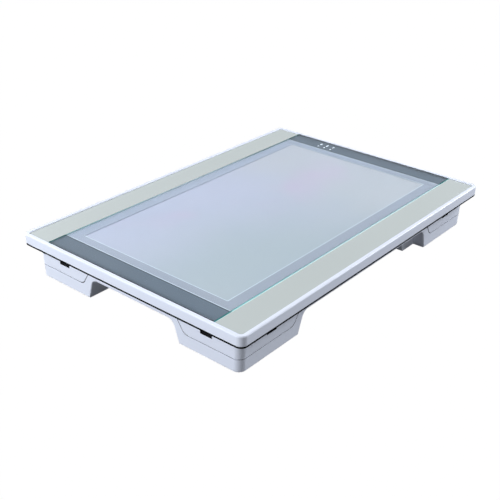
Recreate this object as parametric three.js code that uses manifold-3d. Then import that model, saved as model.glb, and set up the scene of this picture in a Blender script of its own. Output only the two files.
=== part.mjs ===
// A desktop light box: a white top frame with a glass plate over an edge-lit panel,
// standing on a base cover with four moulded feet. Millimetres, +Z up.
// The origin is at the middle of the footprint, on the surface the box stands on.
// Front is -Y, rear is +Y (the touch keys are at the rear), left is -X, right is +X.
import * as THREE from 'three';
import { mergeVertices } from 'three/addons/utils/BufferGeometryUtils.js';
import Module from 'manifold-3d';

const wasm = await Module();
wasm.setup();

// ---------------------------------------------------------------- driving dimensions
const WIDTH = 400;
const LENGTH = 582;
const HEIGHT = 67.5;
const GAP = 0.3;
const FUSE = 0.5;
const ARC_STEPS = 4;
const ROUND_STEPS = 12;

// Top frame, the glass in its pocket and the panels beside it.
const frame = {
  radius: 10, edge: 1.8, edgeSteps: 4, bottom: 53.5, rim: 5.8, wall: 3.2, webBottom: 60.8, webTop: 62.8,
};
const opening = { halfX: 140.5, halfY: 246.5 };
const glass = { halfX: 151.6, thick: 4, polish: 0.4, corner: 1 };
const sidePanels = { drop: 1.2, gap: 0.5 };
const film = { bottom: 62.9, top: 63.4, bandDepth: 31.6, lightHalfX: 131.3, lightHalfY: 237.2 };
const gasket = { bottom: 50.7, top: 53.3, setback: 0.2, halfX: 182, halfY: 273, radius: 8 };

// Base cover with its feet, and what clips or glues on to it.
const base = { inset: 14.4, radius: 11, top: 50.5, bottom: 1, draft: 0.029, wall: 4.2, floor: 3.5 };
const tray = { bottom: 32.6, floor: 2.5, fillet: 12 };
const arch = { slope: 0.31, halfX: 84, halfY: 160, innerHalfY: 128, sideDepth: 20 };
const cover = { thick: 2.2, seam: 20.7, gap: 0.7, slant: 0.6, endX: 76, endY: 154, radius: 11 };
const notch = { width: 19, bottom: 33.6, top: 41, x: 131, y: 217, depth: 8.6, proud: 4 };
const latch = { recess: 2, clearance: 0.6, flange: 2, thick: 2 };
const pad = { length: 64, width: 22, thick: 2.9, recess: 2, x: 134, y: 240, flat: 1 };

// Light panel, from the bottom up: plate, reflector, guide, diffuser.
const light = { halfX: 138, halfY: 244 };
const stack = { plate: [53, 54.2], reflector: [54.4, 54.8], guide: [55.1, 60.1], diffuser: [60.4, 62.6] };
const plate = { halfX: 160, halfY: 256 };
const rail = { length: 470, inner: 141, thick: 2, foot: 9, footThick: 1.6, bottom: 54.5, top: 60.4 };
const strip = { thick: 1.2, bottom: 55.2, top: 60 };
const lamp = { count: 18, width: 5, bottom: 56, top: 59.2, gap: 0.4, sunk: 0.2 };

// Electronics.
const board = { halfX: 58, yMin: 205, yMax: 268, bottom: 38, thick: 1.6 };
const touchBoard = { x: -80, y: 264.5, length: 44, width: 16, bottom: 61.7, thick: 1 };
const keys = { pitch: 12.7, y: 262.6, lensRadius: 1.4 };
const ribbon = { yMin: 259, yMax: 267, thick: 0.5, end: -38, rise: 5, drop: 2.2, bend: 4 };
const inlet = {
  x: 35, width: 10, height: 9, length: 17, setback: 1, bore: 3.2, depth: 11, pin: 1, pinLength: 5.5,
};
const lead = { x: 147, y: 244, hole: 3, radius: 1, steps: 18, sides: 4 };
const leadRoute = [
  [57, 236, 41.6], [75, 238, 45], [120, 243, 47], [143, 244, 48.2], [lead.x, lead.y, 53.6],
  [145.6, 242.4, 57], [141.4, 238.6, 57.6],
];
// Components on the control board: [x from, x to, y from, y to, height].
const components = [
  [-20, -6, 220, 234, 6],
  [2, 14, 240, 252, 5],
  [-40, -28, 236, 248, 1.4],
  [-46, -30, 257, 265, 2.5],
  [-55, -47, 230, 242, 4],
  [47, 55, 230, 242, 4],
];
const capacitors = { radius: 4, height: 8, spots: [[24, 226], [38, 226]] };

// Fasteners; spots are for one corner and repeat in the others.
const caseScrew = {
  headRadius: 3, head: 2.2, radius: 1.5, seat: 36, tip: 58.5, post: 4, well: 4, wellWall: 2,
};
const plateScrew = { headRadius: 2.7, head: 1.7, radius: 1.2, tip: 59, post: 3.5 };
const boardScrew = { headRadius: 2.4, head: 1.6, radius: 1.2, length: 5.5, post: 3 };
const caseScrewSpots = [[168, 200], [110, 263]];
const plateScrewSpots = [[155, 200]];
const boardScrewSpots = [[52, 212], [-52, 212], [52, 261], [-52, 261]];

const frameHalfX = WIDTH / 2;
const frameHalfY = LENGTH / 2;
const pocketHalfX = frameHalfX - frame.rim;
const pocketHalfY = frameHalfY - frame.rim;
const pocketRadius = frame.radius - frame.rim;
const glassHalfY = pocketHalfY - GAP;
const glassBottom = HEIGHT - glass.thick;
const caseHalfX = frameHalfX - base.inset;
const caseHalfY = frameHalfY - base.inset;
const boardTop = board.bottom + board.thick;
const sides = [['left', -1], ['right', 1]];
const corners = [['front_left', -1, -1], ['front_right', 1, -1], ['rear_left', -1, 1], ['rear_right', 1, 1]];

// ---------------------------------------------------------------- materials
const finishes = {
  whitePlastic: { color: 0xe2e4ef, roughness: 0.35, metalness: 0 },
  blackRubber: { color: 0x0a0a0b, roughness: 0.8, metalness: 0 },
  blackPlastic: { color: 0x121214, roughness: 0.5, metalness: 0 },
  greyPanel: { color: 0xc6cdca, roughness: 0.45, metalness: 0 },
  clearGlass: { color: 0xd8efee, roughness: 0.03, metalness: 0, transparent: true, opacity: 0.25 },
  bandInk: { color: 0x6f7f90, roughness: 0.5, metalness: 0 },
  borderInk: { color: 0xb0bccb, roughness: 0.5, metalness: 0 },
  opal: { color: 0xc6cee0, roughness: 0.6, metalness: 0 },
  clearAcrylic: { color: 0xe8f0f4, roughness: 0.1, metalness: 0 },
  whiteFilm: { color: 0xf4f4f2, roughness: 0.8, metalness: 0 },
  aluminium: { color: 0xb9bcc0, roughness: 0.4, metalness: 1 },
  circuitBoard: { color: 0x1f5a36, roughness: 0.5, metalness: 0 },
  whiteBoard: { color: 0xeceade, roughness: 0.5, metalness: 0 },
  steel: { color: 0x9a9ca0, roughness: 0.35, metalness: 1 },
  wire: { color: 0xa02a22, roughness: 0.6, metalness: 0 },
  ribbon: { color: 0xd8d4c4, roughness: 0.6, metalness: 0 },
};

// ---------------------------------------------------------------- geometry helpers
// A closed outline through corners [x, y, radius]; a corner with a radius becomes a tangent arc.
// It starts at an arc where it has one, because an arc joins on to an earlier curve only.
function outline(turns) {
  const first = Math.max(turns.findIndex(([, , radius]) => radius > 0), 0);
  const points = [...turns.slice(first), ...turns.slice(0, first)];
  const shape = new THREE.Shape();
  points.forEach(([x, y, radius = 0], i) => {
    const [px, py] = points[(i + points.length - 1) % points.length];
    const [nx, ny] = points[(i + 1) % points.length];
    if (radius === 0) {
      shape[i === 0 ? 'moveTo' : 'lineTo'](x, y);
      return;
    }
    const corner = new THREE.Vector2(x, y);
    const back = new THREE.Vector2(px, py).sub(corner).normalize();
    const ahead = new THREE.Vector2(nx, ny).sub(corner).normalize();
    const half = Math.acos(back.dot(ahead)) / 2;
    const start = corner.clone().addScaledVector(back, radius / Math.tan(half));
    const end = corner.clone().addScaledVector(ahead, radius / Math.tan(half));
    const centre = back.clone().add(ahead).setLength(radius / Math.sin(half)).add(corner);
    const from = start.sub(centre).angle();
    const to = end.sub(centre).angle();
    shape.absarc(centre.x, centre.y, radius, from, to, back.cross(ahead) > 0);
  });
  shape.closePath();
  return shape;
}

function rectangle(x0, y0, x1, y1, radius = 0) {
  return outline([[x0, y0, radius], [x1, y0, radius], [x1, y1, radius], [x0, y1, radius]]);
}

function centredRectangle(halfX, halfY, radius = 0) {
  return rectangle(-halfX, -halfY, halfX, halfY, radius);
}

function extrude(shape, depth, bevel = {}) {
  return new THREE.ExtrudeGeometry(shape, { depth, curveSegments: ARC_STEPS, bevelEnabled: false, ...bevel });
}

// A rounded or chamfered edge that stays inside the outline it is given.
function innerBevel(size, steps) {
  return {
    bevelEnabled: true, bevelThickness: size, bevelSize: size, bevelOffset: -size, bevelSegments: steps,
  };
}

function toSolid(geometry) {
  geometry.deleteAttribute('normal');
  geometry.deleteAttribute('uv');
  const merged = mergeVertices(geometry, 1e-4);
  return new wasm.Manifold(new wasm.Mesh({
    numProp: 3,
    vertProperties: new Float32Array(merged.attributes.position.array),
    triVerts: new Uint32Array(merged.index.array),
  }));
}

// Prisms of an outline: drawn in XY and raised along Z, drawn in YZ and run along X,
// or drawn in XZ and run along Y.
function prismZ(shape, z0, z1) {
  return toSolid(extrude(shape, z1 - z0).translate(0, 0, z0));
}

function prismX(shape, x0, x1) {
  const turn = new THREE.Matrix4().makeBasis(
    new THREE.Vector3(0, 1, 0), new THREE.Vector3(0, 0, 1), new THREE.Vector3(1, 0, 0));
  return toSolid(extrude(shape, x1 - x0).applyMatrix4(turn).translate(x0, 0, 0));
}

function prismY(shape, y0, y1) {
  const turn = new THREE.Matrix4().makeBasis(
    new THREE.Vector3(1, 0, 0), new THREE.Vector3(0, 0, 1), new THREE.Vector3(0, -1, 0));
  return toSolid(extrude(shape, y1 - y0).applyMatrix4(turn).translate(0, y1, 0));
}

// A box between two values on each axis, given in either order.
function block(x0, x1, y0, y1, z0, z1) {
  const box = new THREE.BoxGeometry(Math.abs(x1 - x0), Math.abs(y1 - y0), z1 - z0);
  return toSolid(box.translate((x0 + x1) / 2, (y0 + y1) / 2, (z0 + z1) / 2));
}

// A box about a point in XY, between two heights.
function slab(x, y, halfX, halfY, z0, z1) {
  return block(x - halfX, x + halfX, y - halfY, y + halfY, z0, z1);
}

function cylinder(x, y, z0, z1, radius) {
  const round = new THREE.CylinderGeometry(radius, radius, z1 - z0, ROUND_STEPS);
  return toSolid(round.rotateX(Math.PI / 2).translate(x, y, (z0 + z1) / 2));
}

function cylinderAlongY(x, z, y0, y1, radius) {
  const round = new THREE.CylinderGeometry(radius, radius, y1 - y0, ROUND_STEPS);
  return toSolid(round.translate(x, (y0 + y1) / 2, z));
}

function lathe(profile) {
  const points = profile.map(([radius, height]) => new THREE.Vector2(radius, height));
  return toSolid(new THREE.LatheGeometry(points, ROUND_STEPS).rotateX(Math.PI / 2));
}

function join(...solids) {
  return solids.reduce((whole, next) => whole.add(next));
}

function cut(solid, ...tools) {
  return tools.reduce((rest, tool) => rest.subtract(tool), solid);
}

// The same spots in all four corners.
function mirrored(spots) {
  return spots.flatMap(([x, y]) => corners.map(([, sx, sy]) => [sx * x, sy * y]));
}

// ---------------------------------------------------------------- top frame and what lies in it
// A post under the frame's web with a blind pilot hole for a screw from below.
function withScrewPost(body, [x, y], bottom, screw) {
  const post = cylinder(x, y, bottom + GAP, frame.webBottom + FUSE, screw.post);
  const pilot = cylinder(x, y, bottom, screw.tip + FUSE, screw.radius + GAP);
  return body.add(post).subtract(pilot);
}

function topFrame() {
  const depth = HEIGHT - frame.bottom;
  const plan = centredRectangle(frameHalfX, frameHalfY, frame.radius);
  const rounded = extrude(plan, depth, innerBevel(frame.edge, frame.edgeSteps));
  const outer = toSolid(rounded.translate(0, 0, frame.bottom - frame.edge));
  const below = slab(0, 0, WIDTH, LENGTH, 0, frame.bottom);
  const pocket = prismZ(centredRectangle(pocketHalfX, pocketHalfY, pocketRadius), frame.webTop, HEIGHT + 1);
  const hole = prismZ(centredRectangle(opening.halfX, opening.halfY), frame.bottom, HEIGHT);
  const cavityOutline = centredRectangle(
    frameHalfX - frame.wall, frameHalfY - frame.wall, frame.radius - frame.wall);
  let body = cut(outer, below, pocket, hole, prismZ(cavityOutline, frame.bottom - 1, frame.webBottom));
  for (const spot of mirrored(caseScrewSpots)) {
    body = withScrewPost(body, spot, base.top, caseScrew);
  }
  for (const spot of mirrored(plateScrewSpots)) {
    body = withScrewPost(body, spot, stack.plate[1], plateScrew);
  }
  return cut(body, touchSeat(), ribbonSlot());
}

function touchSeat() {
  const halfX = touchBoard.length / 2 + GAP;
  const halfY = touchBoard.width / 2 + GAP;
  return slab(touchBoard.x, touchBoard.y, halfX, halfY, touchBoard.bottom - 0.1, glassBottom);
}

function ribbonSlot() {
  const middle = (ribbon.yMin + ribbon.yMax) / 2;
  const halfY = (ribbon.yMax - ribbon.yMin) / 2 + 1;
  return slab(touchBoard.x, middle, 2, halfY, frame.webBottom - 1, touchBoard.bottom);
}

function sidePanel(side) {
  const inner = side * (glass.halfX + GAP);
  const outer = side * (pocketHalfX - sidePanels.gap);
  const turns = [
    [inner, -glassHalfY], [outer, -glassHalfY, pocketRadius],
    [outer, glassHalfY, pocketRadius], [inner, glassHalfY],
  ];
  return prismZ(outline(side > 0 ? turns : turns.reverse()), film.bottom, HEIGHT - sidePanels.drop);
}

function glassPlate() {
  const depth = glass.thick - 2 * glass.polish;
  const plan = centredRectangle(glass.halfX, glassHalfY, glass.corner);
  const polished = extrude(plan, depth, innerBevel(glass.polish, 1));
  return toSolid(polished.translate(0, 0, glassBottom + glass.polish));
}

function keySpots() {
  return [-1, 0, 1].map((step) => [touchBoard.x + step * keys.pitch, keys.y]);
}

// The printed bands across the two ends of the glass; the rear one has a hole over each key.
function bandFilm(side) {
  const near = side * (glassHalfY - film.bandDepth);
  const band = block(-glass.halfX, glass.halfX, near, side * glassHalfY, film.bottom, film.top);
  const holes = keySpots().map(
    ([x, y]) => cylinder(x, y, film.bottom - 1, film.top + 1, keys.lensRadius + GAP));
  return side > 0 ? cut(band, ...holes) : band;
}

function borderFilm() {
  const halfY = glassHalfY - film.bandDepth - GAP;
  const border = slab(0, 0, glass.halfX, halfY, film.bottom, film.top);
  return cut(border, slab(0, 0, film.lightHalfX, film.lightHalfY, film.bottom - 1, film.top + 1));
}

function keyLens(x, y) {
  return cylinder(x, y, touchBoard.bottom + touchBoard.thick + 0.1, film.top, keys.lensRadius);
}

function frameGasket() {
  const ring = centredRectangle(
    frameHalfX - gasket.setback, frameHalfY - gasket.setback, frame.radius - gasket.setback);
  const hole = centredRectangle(gasket.halfX, gasket.halfY, gasket.radius);
  return cut(prismZ(ring, gasket.bottom, gasket.top), prismZ(hole, gasket.bottom - 1, gasket.top + 1));
}

// ---------------------------------------------------------------- light panel
function sheet([bottom, top], halfX, halfY) {
  return slab(0, 0, halfX, halfY, bottom, top);
}

function backPlate() {
  const [bottom, top] = stack.plate;
  const through = (x, y, radius) => cylinder(x, y, bottom - 1, top + 1, radius);
  const screwHoles = mirrored(plateScrewSpots).map(([x, y]) => through(x, y, plateScrew.radius + GAP));
  const leadHoles = sides.map(([, side]) => through(side * lead.x, lead.y, lead.hole));
  return cut(sheet(stack.plate, plate.halfX, plate.halfY), ...screwHoles, ...leadHoles);
}

function ledRail(side) {
  const leg = (width, top) => block(
    side * rail.inner, side * (rail.inner + width), -rail.length / 2, rail.length / 2, rail.bottom, top);
  return join(leg(rail.thick, rail.top), leg(rail.foot, rail.bottom + rail.footThick));
}

// A lamp board standing against its rail, with the lamps facing the edge of the light guide.
function ledStrip(side) {
  const back = rail.inner - GAP;
  const front = back - strip.thick;
  const half = rail.length / 2;
  const parts = [block(side * front, side * back, -half, half, strip.bottom, strip.top)];
  for (let i = 0; i < lamp.count; i += 1) {
    const y = (i + 0.5 - lamp.count / 2) * (rail.length / lamp.count);
    const face = side * (light.halfX + lamp.gap);
    const root = side * (front + lamp.sunk);
    parts.push(block(face, root, y - lamp.width / 2, y + lamp.width / 2, lamp.bottom, lamp.top));
  }
  return join(...parts);
}

// ---------------------------------------------------------------- base cover
// The case outline moved in by inset, narrowing towards the floor by the moulding draft.
function caseBlock(inset, z0, z1) {
  const shape = centredRectangle(caseHalfX - inset, caseHalfY - inset, Math.max(base.radius - inset, 1));
  const geometry = extrude(shape, z1 - z0).translate(0, 0, z0);
  const position = geometry.attributes.position;
  for (let i = 0; i < position.count; i += 1) {
    const draft = (base.top - position.getZ(i)) * base.draft;
    position.setX(i, position.getX(i) * (1 - draft / caseHalfX));
    position.setY(i, position.getY(i) * (1 - draft / caseHalfY));
  }
  return toSolid(geometry);
}

// The opening between two feet: sloping sides that turn into the tray's underside.
function archOutline(half, grow) {
  const low = -5;
  const top = tray.bottom + grow;
  const wide = half + grow + (base.bottom - low) * arch.slope;
  const narrow = half + grow - (top - base.bottom) * arch.slope;
  return outline([[-wide, low], [wide, low], [narrow, top, tray.fillet], [-narrow, top, tray.fillet]]);
}

// Each foot steps back on the long sides: a wide shallow arch outside a narrower one.
function archCut(grow) {
  const inner = frameHalfX - base.inset - arch.sideDepth - grow;
  return join(
    prismY(archOutline(arch.halfX, grow), -frameHalfY, frameHalfY),
    prismX(archOutline(arch.innerHalfY, grow), -frameHalfX, frameHalfX),
    prismX(archOutline(arch.halfY, grow), inner, frameHalfX),
    prismX(archOutline(arch.halfY, grow), -frameHalfX, -inner));
}

// The part of a corner above the seam, as a solid region; grow widens it on every edge.
function coverRegion(sx, sy, grow) {
  const low = cover.seam - grow;
  const above = 5;
  const profile = (end, side) => {
    const foot = end + (base.top - low) * cover.slant - grow;
    const head = end - above * cover.slant - grow;
    const high = base.top + above;
    const turns = [[foot, low, cover.radius], [WIDTH, low], [WIDTH, high], [head, high]];
    return outline(turns.map(([u, v, radius]) => [side * u, v, radius]));
  };
  const onEnd = prismY(profile(cover.endX, sx), -LENGTH, LENGTH);
  const onSide = prismX(profile(cover.endY, sy), -LENGTH, LENGTH);
  return onEnd.intersect(onSide);
}

// A slot through the corner cover and the wall behind it, on the end and on the side of each corner.
function notchSlots() {
  const half = notch.width / 2;
  const across = (halfCase) => [halfCase - notch.depth, halfCase + notch.proud];
  const [endNear, endFar] = across(caseHalfY);
  const [sideNear, sideFar] = across(caseHalfX);
  return corners.flatMap(([, sx, sy]) => [
    block(sx * notch.x - half, sx * notch.x + half, sy * endNear, sy * endFar, notch.bottom, notch.top),
    block(sx * sideNear, sx * sideFar, sy * notch.y - half, sy * notch.y + half, notch.bottom, notch.top),
  ]);
}

function padOutline(sx, sy, grow) {
  const halfL = pad.length / 2 + grow;
  const halfW = pad.width / 2 + grow;
  const [x, y] = [sx * pad.x, sy * pad.y];
  return rectangle(x - halfL, y - halfW, x + halfL, y + halfW, halfW - pad.flat);
}

function baseCover() {
  const inside = cut(caseBlock(base.wall, base.bottom + base.floor, base.top + 1), archCut(tray.floor));
  let body = cut(caseBlock(0, base.bottom, base.top), archCut(0), inside);
  const skin = cut(caseBlock(-1, 0, base.top + 2), caseBlock(cover.thick + GAP, -1, base.top + 3));
  for (const [, sx, sy] of corners) {
    body = body.subtract(skin.intersect(coverRegion(sx, sy, cover.gap)));
    body = body.subtract(prismZ(padOutline(sx, sy, GAP), 0, base.bottom + pad.recess));
  }
  body = cut(body, ...notchSlots());
  for (const [x, y] of mirrored(caseScrewSpots)) {
    const { seat, well, wellWall, post, radius } = caseScrew;
    body = body.add(cylinder(x, y, base.bottom + 1, seat + base.floor, well + wellWall));
    body = body.add(cylinder(x, y, seat, base.top, post));
    body = body.subtract(cylinder(x, y, 0, seat, well));
    body = body.subtract(cylinder(x, y, 0, base.top + 1, radius + GAP));
  }
  for (const [x, y] of boardScrewSpots) {
    body = body.add(cylinder(x, y, tray.bottom + 1, board.bottom - 0.1, boardScrew.post));
    body = body.subtract(cylinder(x, y, tray.bottom + 1.4, board.bottom, boardScrew.radius + GAP));
  }
  return body.subtract(inletBlock(GAP, inlet.setback + base.draft * base.top));
}

function cornerCover(sx, sy) {
  const skin = cut(caseBlock(0, 0, base.top - 0.2), caseBlock(cover.thick, -1, base.top + 3));
  return cut(skin.intersect(coverRegion(sx, sy, 0)), ...notchSlots());
}

// A catch behind each notch: a plug that fills the slot in the wall and a flange inside it.
function latchCatch(sx, sy, onEnd) {
  const draft = (base.top - (notch.bottom + notch.top) / 2) * base.draft;
  const face = (onEnd ? caseHalfY : caseHalfX) - draft;
  const outer = face - latch.recess;
  const inner = face - base.wall - latch.clearance;
  const half = notch.width / 2 - GAP;
  const piece = (near, far, reach, z0, z1) => (onEnd
    ? block(sx * notch.x - reach, sx * notch.x + reach, sy * near, sy * far, z0, z1)
    : block(sx * near, sx * far, sy * notch.y - reach, sy * notch.y + reach, z0, z1));
  const { thick, flange } = latch;
  return join(
    piece(inner - FUSE, outer, half, notch.bottom + GAP, notch.top - GAP),
    piece(inner - thick, inner, half + flange, notch.bottom - flange, notch.top + flange));
}

// ---------------------------------------------------------------- electronics
// The inlet's body; grow and past make the clearance for it in the rear wall.
function inletBlock(grow, past) {
  const rear = caseHalfY - inlet.setback;
  const bottom = boardTop + 0.2;
  const half = inlet.width / 2 + grow;
  return block(inlet.x - half, inlet.x + half, rear - inlet.length, rear + past, bottom - grow,
    bottom + inlet.height + grow);
}

function dcInlet() {
  const rear = caseHalfY - inlet.setback;
  const middle = boardTop + 0.2 + inlet.height / 2;
  const bottom = rear - inlet.depth;
  return inletBlock(0, 0)
    .subtract(cylinderAlongY(inlet.x, middle, bottom, rear + 1, inlet.bore))
    .add(cylinderAlongY(inlet.x, middle, bottom - 1, bottom + inlet.pinLength, inlet.pin));
}

function controlBoard() {
  const foot = boardTop - 0.1;
  const panel = block(-board.halfX, board.halfX, board.yMin, board.yMax, board.bottom, boardTop);
  const boxes = components.map(([x0, x1, y0, y1, height]) => block(x0, x1, y0, y1, foot, boardTop + height));
  const cans = capacitors.spots.map(
    ([x, y]) => cylinder(x, y, foot, boardTop + capacitors.height, capacitors.radius));
  const holes = boardScrewSpots.map(
    ([x, y]) => cylinder(x, y, board.bottom - 1, boardTop + 1, boardScrew.radius + GAP));
  return cut(join(panel, ...boxes, ...cans), ...holes);
}

function sensorBoard() {
  return slab(touchBoard.x, touchBoard.y, touchBoard.length / 2, touchBoard.width / 2,
    touchBoard.bottom, touchBoard.bottom + touchBoard.thick);
}

// A wire from the control board, through the back plate, to the end of the lamp board.
function ledLead(side) {
  const route = new THREE.CatmullRomCurve3(leadRoute.map(([x, y, z]) => new THREE.Vector3(side * x, y, z)));
  const section = new THREE.Shape().absarc(0, 0, lead.radius, 0, Math.PI * 2);
  return toSolid(new THREE.ExtrudeGeometry(
    section, { extrudePath: route, steps: lead.steps, curveSegments: lead.sides }));
}

// A flat cable from the sensor board down to its socket on the control board.
function ribbonCable() {
  const { thick, end, bend } = ribbon;
  const top = touchBoard.bottom - 0.2;
  const low = boardTop + ribbon.rise;
  const x = touchBoard.x;
  return prismY(outline([
    [x, top], [x, low, bend + thick], [end - thick, low, 1], [end - thick, low - ribbon.drop],
    [end, low - ribbon.drop], [end, low + thick, 1 + thick], [x + thick, low + thick, bend], [x + thick, top],
  ]), ribbon.yMin, ribbon.yMax);
}

// ---------------------------------------------------------------- fasteners
// A screw whose head lies under its seat and whose shank runs up to the tip.
function screwFromBelow(x, y, seat, size) {
  const profile = [
    [0, -size.head], [size.headRadius, -size.head], [size.headRadius, 0], [size.radius, 0],
    [size.radius, size.tip - seat - 1], [0, size.tip - seat],
  ];
  return lathe(profile).translate([x, y, seat]);
}

function screwFromAbove(x, y, seat, size) {
  const profile = [
    [0, -size.length], [size.radius, 1 - size.length], [size.radius, 0], [size.headRadius, 0],
    [size.headRadius, size.head], [0, size.head],
  ];
  return lathe(profile).translate([x, y, seat]);
}

// ---------------------------------------------------------------- assembly
const model = new THREE.Group();

function place(name, solid, finish) {
  const { vertProperties, triVerts } = solid.getMesh();
  const geometry = new THREE.BufferGeometry();
  geometry.setAttribute('position', new THREE.BufferAttribute(vertProperties, 3));
  geometry.setIndex(new THREE.BufferAttribute(triVerts, 1));
  geometry.computeVertexNormals();
  const mesh = new THREE.Mesh(geometry, new THREE.MeshStandardMaterial(finishes[finish]));
  mesh.name = name;
  model.add(mesh);
}

place('top_frame', topFrame(), 'whitePlastic');
place('frame_gasket', frameGasket(), 'blackRubber');
place('glass_plate', glassPlate(), 'clearGlass');
place('band_film_front', bandFilm(-1), 'bandInk');
place('band_film_rear', bandFilm(1), 'bandInk');
place('border_film', borderFilm(), 'borderInk');
place('diffuser_sheet', sheet(stack.diffuser, light.halfX, light.halfY), 'opal');
place('light_guide', sheet(stack.guide, light.halfX, light.halfY), 'clearAcrylic');
place('reflector_sheet', sheet(stack.reflector, light.halfX, light.halfY), 'whiteFilm');
place('back_plate', backPlate(), 'aluminium');
place('base_cover', baseCover(), 'whitePlastic');
place('control_board', controlBoard(), 'circuitBoard');
place('touch_board', sensorBoard(), 'circuitBoard');
place('dc_inlet', dcInlet(), 'blackPlastic');
place('ribbon_cable', ribbonCable(), 'ribbon');

for (const [word, side] of sides) {
  place(`side_panel_${word}`, sidePanel(side), 'greyPanel');
  place(`led_strip_${word}`, ledStrip(side), 'whiteBoard');
  place(`led_rail_${word}`, ledRail(side), 'aluminium');
  place(`led_lead_${word}`, ledLead(side), 'wire');
}

for (const [word, sx, sy] of corners) {
  place(`corner_cover_${word}`, cornerCover(sx, sy), 'whitePlastic');
  place(`latch_catch_${word}_end`, latchCatch(sx, sy, true), 'blackPlastic');
  place(`latch_catch_${word}_side`, latchCatch(sx, sy, false), 'blackPlastic');
  place(`foot_pad_${word}`, prismZ(padOutline(sx, sy, 0), 0, pad.thick), 'blackRubber');
}

keySpots().forEach(([x, y], i) => {
  place(`key_lens_${i + 1}`, keyLens(x, y), 'opal');
});
mirrored(caseScrewSpots).forEach(([x, y], i) => {
  place(`case_screw_${i + 1}`, screwFromBelow(x, y, caseScrew.seat - 0.1, caseScrew), 'steel');
});
mirrored(plateScrewSpots).forEach(([x, y], i) => {
  place(`plate_screw_${i + 1}`, screwFromBelow(x, y, stack.plate[0] - 0.1, plateScrew), 'steel');
});
boardScrewSpots.forEach(([x, y], i) => {
  place(`board_screw_${i + 1}`, screwFromAbove(x, y, boardTop + 0.1, boardScrew), 'steel');
});

export default model;
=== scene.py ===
from contextlib import contextmanager
from math import cos, hypot, pi, radians, sin, tan

import bmesh
import bpy
from mathutils import Matrix, Vector


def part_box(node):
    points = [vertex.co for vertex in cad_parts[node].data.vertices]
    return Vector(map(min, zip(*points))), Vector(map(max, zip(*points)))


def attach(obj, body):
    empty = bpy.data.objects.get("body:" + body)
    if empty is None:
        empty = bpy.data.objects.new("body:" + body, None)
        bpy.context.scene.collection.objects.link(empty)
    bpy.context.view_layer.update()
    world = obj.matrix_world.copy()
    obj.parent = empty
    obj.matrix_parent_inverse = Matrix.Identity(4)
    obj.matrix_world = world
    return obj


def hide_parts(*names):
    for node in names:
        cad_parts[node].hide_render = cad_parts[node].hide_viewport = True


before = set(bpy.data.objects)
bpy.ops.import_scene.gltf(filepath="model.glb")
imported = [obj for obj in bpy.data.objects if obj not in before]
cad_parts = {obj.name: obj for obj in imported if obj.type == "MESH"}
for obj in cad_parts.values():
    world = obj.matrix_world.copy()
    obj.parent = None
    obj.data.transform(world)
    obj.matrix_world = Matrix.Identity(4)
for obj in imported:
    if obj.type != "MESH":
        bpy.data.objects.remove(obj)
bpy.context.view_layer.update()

MM = 0.001


def mm(*sizes):
    return [size * MM for size in sizes]


BODY = "root"
SIDES = (("left", -1), ("right", 1))
CORNERS = (("front_left", -1, -1), ("front_right", 1, -1), ("rear_left", -1, 1), ("rear_right", 1, 1))

# -------- camera
CAMERA_AZIMUTH = radians(39.247)
CAMERA_ELEVATION = radians(27.920)
CAMERA_ROLL = radians(1.106)
CAMERA_TARGET = Vector((0.0695, -0.1203, 0.0675))
CAMERA_DISTANCE = 1.1598
CAMERA_LENS = 61.9
CAMERA_CLIP = (0.05, 50)
SENSOR_WIDTH = 36


def make_camera():
    """Looks at the box from its front right corner, from a little above."""
    azimuth, elevation, roll = CAMERA_AZIMUTH, CAMERA_ELEVATION, CAMERA_ROLL
    back = Vector((sin(azimuth) * cos(elevation), -cos(azimuth) * cos(elevation),
                   sin(elevation)))
    right = Vector((cos(azimuth), sin(azimuth), 0))
    up = back.cross(right)
    turned_right = right * cos(roll) + up * sin(roll)
    turned_up = up * cos(roll) - right * sin(roll)
    data = bpy.data.cameras.new("camera")
    data.sensor_width = SENSOR_WIDTH
    data.lens = CAMERA_LENS
    data.clip_start, data.clip_end = CAMERA_CLIP
    camera = link("camera", data)
    place = CAMERA_TARGET + back * CAMERA_DISTANCE
    rotation = Matrix((turned_right, turned_up, back)).transposed().to_4x4()
    camera.matrix_world = Matrix.Translation(place) @ rotation
    bpy.context.scene.camera = camera


# -------- sizes read from the frame
FRAME_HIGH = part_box("top_frame")[1]
CASE_LOW, CASE_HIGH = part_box("base_cover")
GLASS_LOW, GLASS_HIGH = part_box("glass_plate")
GASKET_LOW, GASKET_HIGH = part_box("frame_gasket")
TOUCH_LOW, TOUCH_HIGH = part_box("touch_board")
GAP = 0.3 * MM

# -------- outlines
ARC = 10
LEAST_RADIUS = 0.02 * MM


def arc(x, y, radius, start, end, steps=ARC):
    """Points on an arc, with both ends, from angle start to end in degrees."""
    turns = [radians(start + (end - start) * i / steps) for i in range(steps + 1)]
    return [(x + radius * cos(t), y + radius * sin(t)) for t in turns]


def rounded(x0, y0, x1, y1, radii, steps=ARC):
    """A rectangle with rounded corners, anticlockwise from the low corner.

    radii is one radius or four, for the corners low-low, high-low, high-high and low-high.
    """
    if not isinstance(radii, (tuple, list)):
        radii = (radii,) * 4
    centres = ((x0, y0, 1, 1, 180), (x1, y0, -1, 1, 270), (x1, y1, -1, -1, 0), (x0, y1, 1, -1, 90))
    points = []
    for (x, y, sx, sy, start), radius in zip(centres, radii):
        radius = max(radius, LEAST_RADIUS)
        points += arc(x + sx * radius, y + sy * radius, radius, start, start + 90, steps)
    return points


def centred(half_x, half_y, radius, steps=ARC):
    return rounded(-half_x, -half_y, half_x, half_y, radius, steps)


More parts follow.
